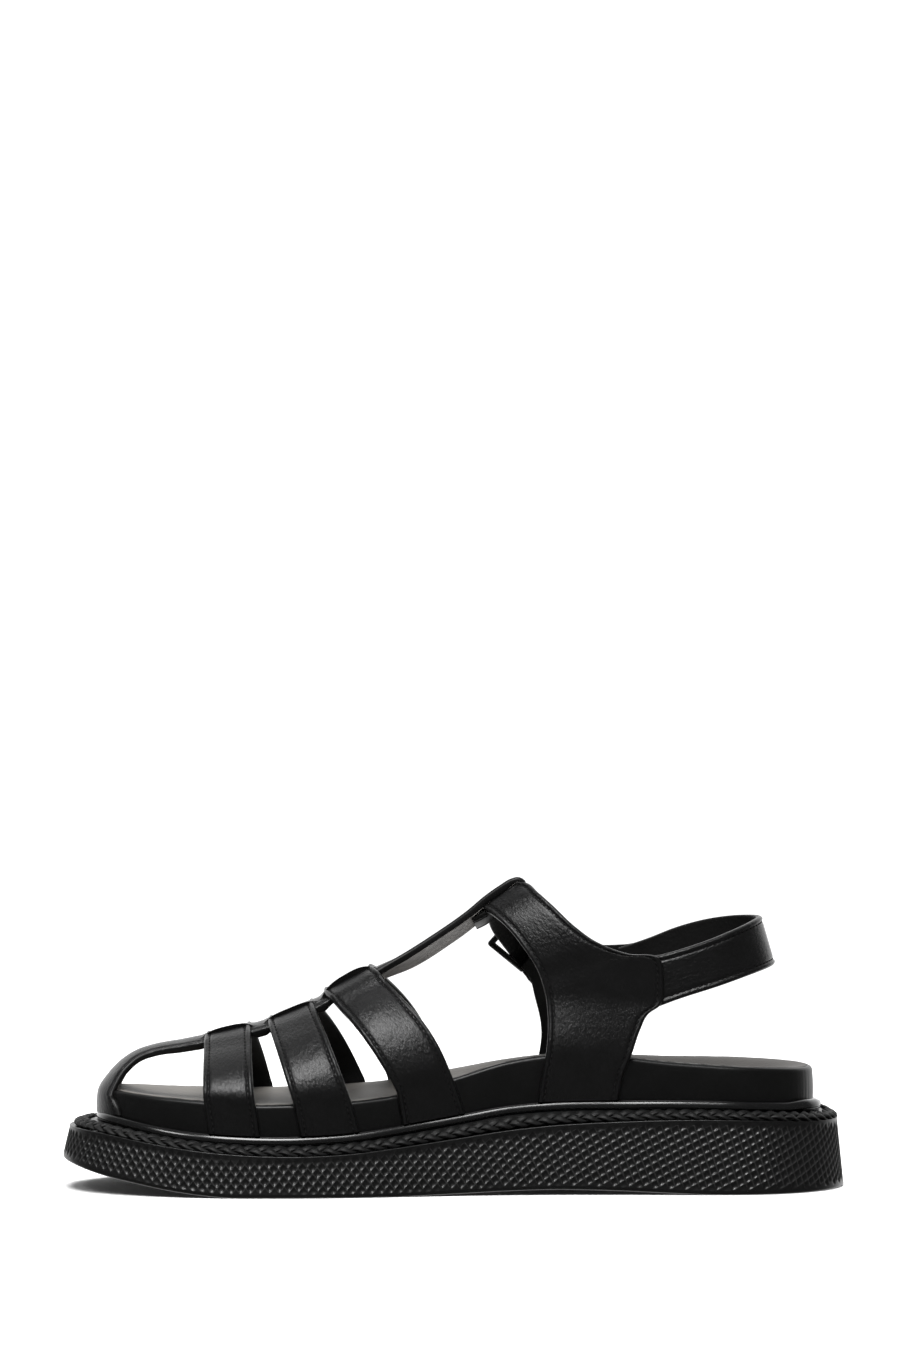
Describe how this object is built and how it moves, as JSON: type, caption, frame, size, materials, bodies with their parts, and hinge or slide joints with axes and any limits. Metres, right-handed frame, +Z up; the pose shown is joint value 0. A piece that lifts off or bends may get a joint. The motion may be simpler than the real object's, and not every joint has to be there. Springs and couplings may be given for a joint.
{
  "type": "strappy sandal",
  "caption": "Black leather sandal with a T-bar threaded over cross straps, a buckled ankle strap, a heel strap, a thick footbed and a chunky rubber sole with plaited trim.",
  "frame": {"origin": "middle of the sole's length and width, on the floor", "axes": "+X from toe to heel, -Y the inner side of the foot, +Z up"},
  "size_m": [0.275, 0.1088, 0.1083],
  "materials": {
    "sole_rubber": "satin moulded net pattern",
    "plaited_leather": "satin plait",
    "smooth_leather": "polished",
    "cover_leather": "satin, fine wrinkles",
    "insole_leather": "matt",
    "strap_leather": "polished, fine pebble grain",
    "buckle_metal": "black gloss coat"
  },
  "bodies": {
    "root": {"outsole": "sole_rubber", "braid_trim": "plaited_leather", "welt": "smooth_leather", "footbed": "cover_leather", "insole": "insole_leather", "upper": "strap_leather", "buckle_frame": "buckle_metal", "buckle_prong": "buckle_metal"}
  },
  "joints": []
}
